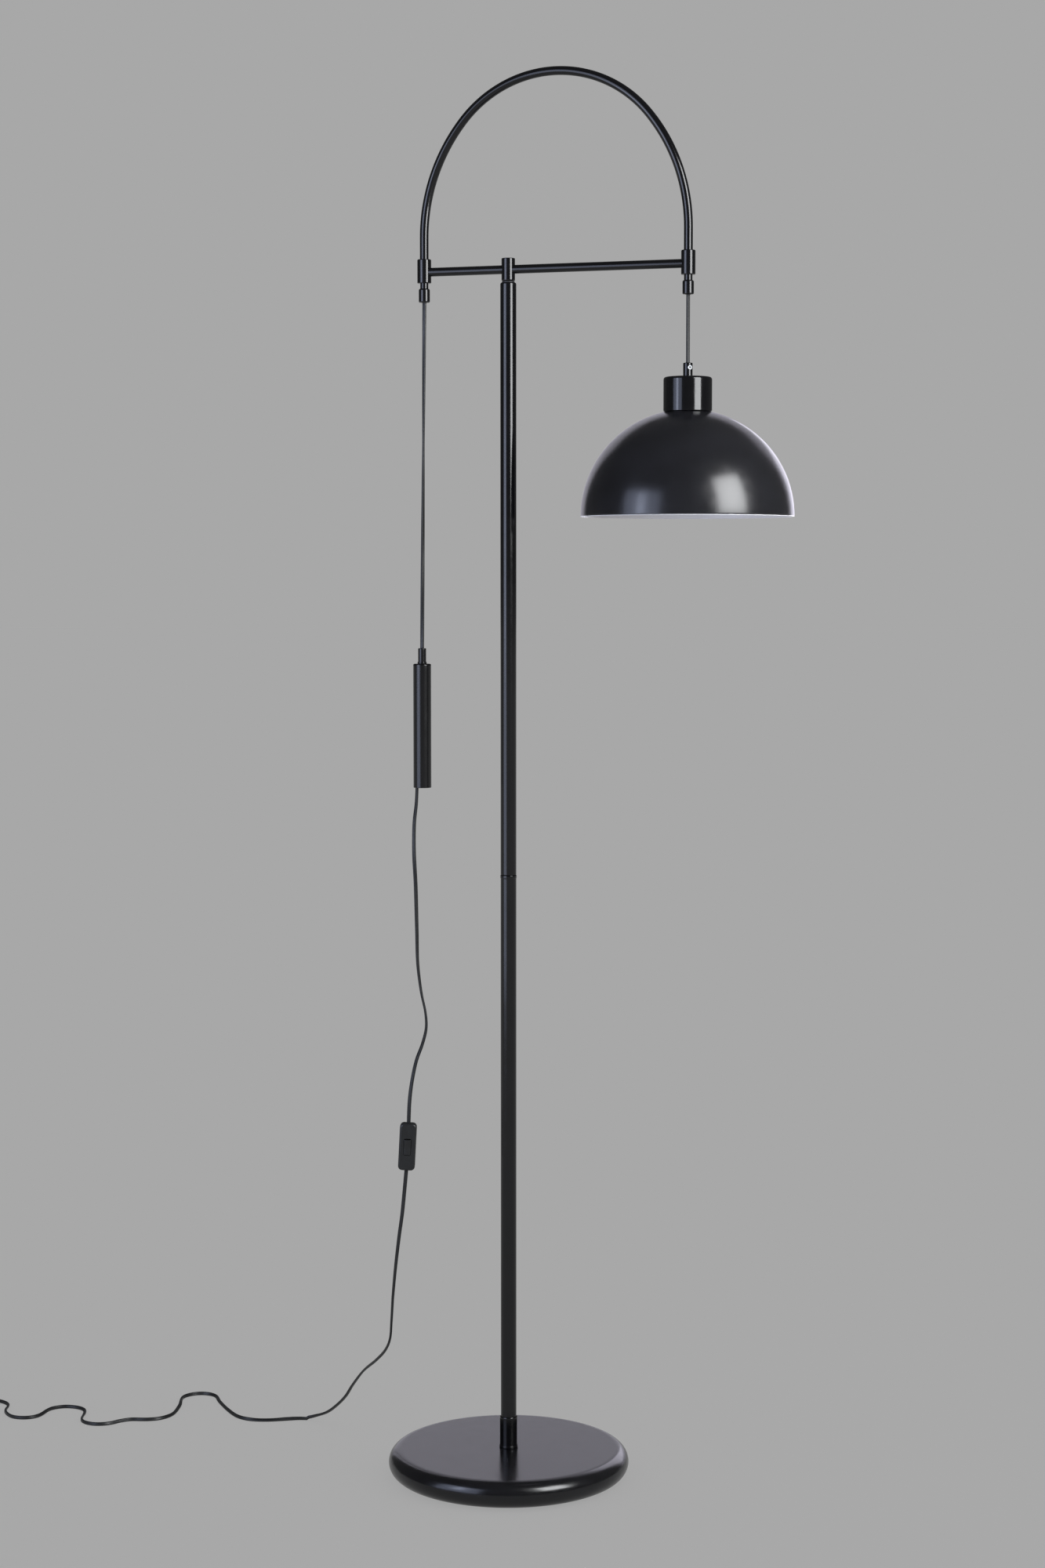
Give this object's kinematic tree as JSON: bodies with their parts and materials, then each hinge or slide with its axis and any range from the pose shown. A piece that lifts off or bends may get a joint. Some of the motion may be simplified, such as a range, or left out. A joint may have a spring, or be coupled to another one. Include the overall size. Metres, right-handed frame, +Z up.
{
  "type": "arc floor lamp",
  "caption": "Counterbalanced floor lamp: round weighted base, straight pole, crossbar with an arched tube, and a dome shade on a cable that a hanging weight balances.",
  "frame": {"origin": "under the base, on the pole's axis, on the floor", "axes": "+Z up along the pole, +X from the pole towards the shade, so the counterweight hangs at -X and +Y is behind the crossbar"},
  "size_m": [1.1935, 0.3418, 1.6932],
  "materials": {
    "black_enamel": "semi-gloss black enamel on steel tube and sheet",
    "black_aluminium": "semi-gloss black enamel on thin spun aluminium, white inside the dome",
    "black_plastic": "moulded black plastic, fine satin grain",
    "grey_plastic": "plain dark nylon and foam",
    "black_pvc": "soft black PVC cable sheath",
    "cast_iron": "rough grey cast iron",
    "steel": "plain machined steel",
    "zinc_steel": "bright zinc plated steel",
    "brass": "plain stamped brass"
  },
  "bodies": {
    "stand": {"base_cover": "black_enamel", "base_ballast": "cast_iron", "base_plate": "steel", "base_pad": "grey_plastic", "base_bolt": "zinc_steel", "base_washer": "zinc_steel", "pole_collar": "black_enamel", "pole_foot_plug": "steel", "lower_pole": "black_enamel", "joint_stud": "steel", "joint_insert": "steel", "upper_pole": "black_enamel", "pole_top_bush": "black_plastic", "swivel_washer": "grey_plastic", "lead_to_plug": "black_pvc", "lead_coil": "black_pvc", "coil_tie": "grey_plastic", "plug_body": "black_plastic", "plug_pins": "zinc_steel"},
    "arm": {"hub": "black_enamel", "swivel_stud": "zinc_steel", "stud_nut": "zinc_steel", "hub_screw": "zinc_steel", "crossbar": "black_enamel", "arc_tube": "black_enamel", "back_tee": "black_enamel", "front_tee": "black_enamel", "back_nipple": "black_enamel", "front_nipple": "black_enamel", "back_ferrule": "black_enamel", "front_ferrule": "black_enamel", "ferrule_bushes": "grey_plastic", "lead_in_arc": "black_pvc", "weight_cable": "black_pvc"},
    "drop": {"shade_cable": "black_pvc"},
    "shade": {"cable_clamp": "black_enamel", "clamp_screw": "zinc_steel", "shade_cap": "black_aluminium", "cap_nipple": "zinc_steel", "cap_nut": "zinc_steel", "shade_dome": "black_aluminium", "lampholder_body": "black_plastic", "lampholder_top": "black_plastic", "socket_shell": "brass", "socket_contact": "brass", "lead_in_shade": "black_pvc"},
    "counterweight": {"weight_neck": "black_enamel", "weight_sleeve": "black_enamel", "weight_core": "steel", "weight_end_plug": "black_plastic", "lead_in_weight": "black_pvc", "lead_hanging": "black_pvc", "switch_front": "black_plastic", "switch_back": "black_plastic", "switch_screws": "zinc_steel", "switch_terminals": "brass", "lead_below_switch": "black_pvc"},
    "rocker": {"switch_rocker": "black_plastic"}
  },
  "joints": [
    {"name": "arm_swivel", "type": "hinge", "parent": "stand", "child": "arm", "pos_m": [0, 0, 1.4435], "axis": [0, 0, 1], "range_deg": [-90, 90]},
    {"name": "shade_swing", "type": "hinge", "parent": "arm", "child": "drop", "pos_m": [0.2205, 0, 1.4228], "axis": [1, 0, 0], "range_deg": [-12, 12]},
    {"name": "shade_slide", "type": "slide", "parent": "drop", "child": "shade", "axis": [0, 0, -1], "range_m": [-0.05, 0.4], "deforming": ["shade_cable"]},
    {"name": "weight_slide", "type": "slide", "parent": "arm", "child": "counterweight", "axis": [0, 0, 1], "range_m": [-0.05, 0.4], "deforming": ["weight_cable", "lead_below_switch"]},
    {"name": "rocker_tilt", "type": "hinge", "parent": "counterweight", "child": "rocker", "pos_m": [-0.12742, -0.00933, 0.399], "axis": [0.9498, 0.3086, -0.0523], "range_deg": [-12, 0]}
  ],
  "couplings": [
    {"joint": "weight_slide", "follows": "shade_slide", "ratio": 1}
  ]
}
